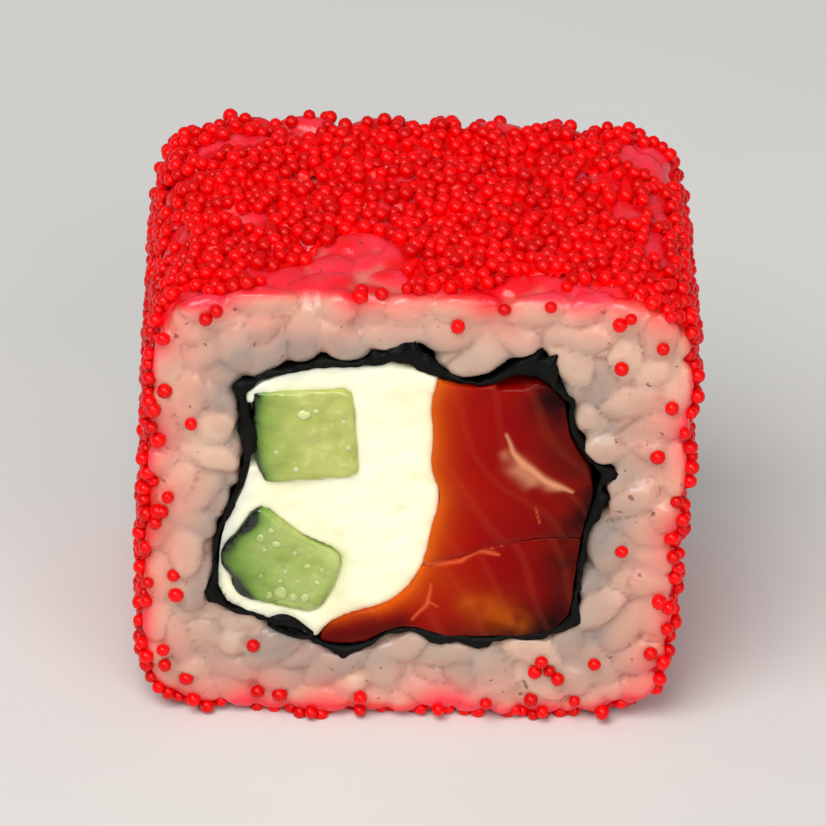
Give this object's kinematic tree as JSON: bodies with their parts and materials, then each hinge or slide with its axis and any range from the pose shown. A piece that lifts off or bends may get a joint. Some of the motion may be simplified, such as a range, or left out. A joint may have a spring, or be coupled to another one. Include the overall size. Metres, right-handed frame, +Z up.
{
  "type": "uramaki roll piece",
  "caption": "One cut piece of inside-out sushi roll: rice coated with red roe round nori, cream cheese, cucumber sticks and salmon.",
  "frame": {"origin": "centre of the flat underside that the piece rests on", "axes": "+Z up; the front cut face looks along -Y; +Y runs back along the roll's axis; +X to the right across the cut face"},
  "size_m": [0.0392, 0.0252, 0.036],
  "materials": {
    "rice": "moist cooked rice, tinted pink beside the roe",
    "roe": "wet red roe",
    "nori": "damp black-green seaweed sheet",
    "cream_cheese": "smooth soft cream cheese",
    "cucumber": "wet cut cucumber",
    "salmon": "wet dark red salmon with orange edges"
  },
  "bodies": {
    "root": {"rice_and_roe": "rice", "nori": "nori", "cream_cheese": "cream_cheese", "cucumber_upper": "cucumber", "cucumber_lower": "cucumber", "salmon_upper": "salmon", "salmon_lower": "salmon"}
  },
  "joints": []
}
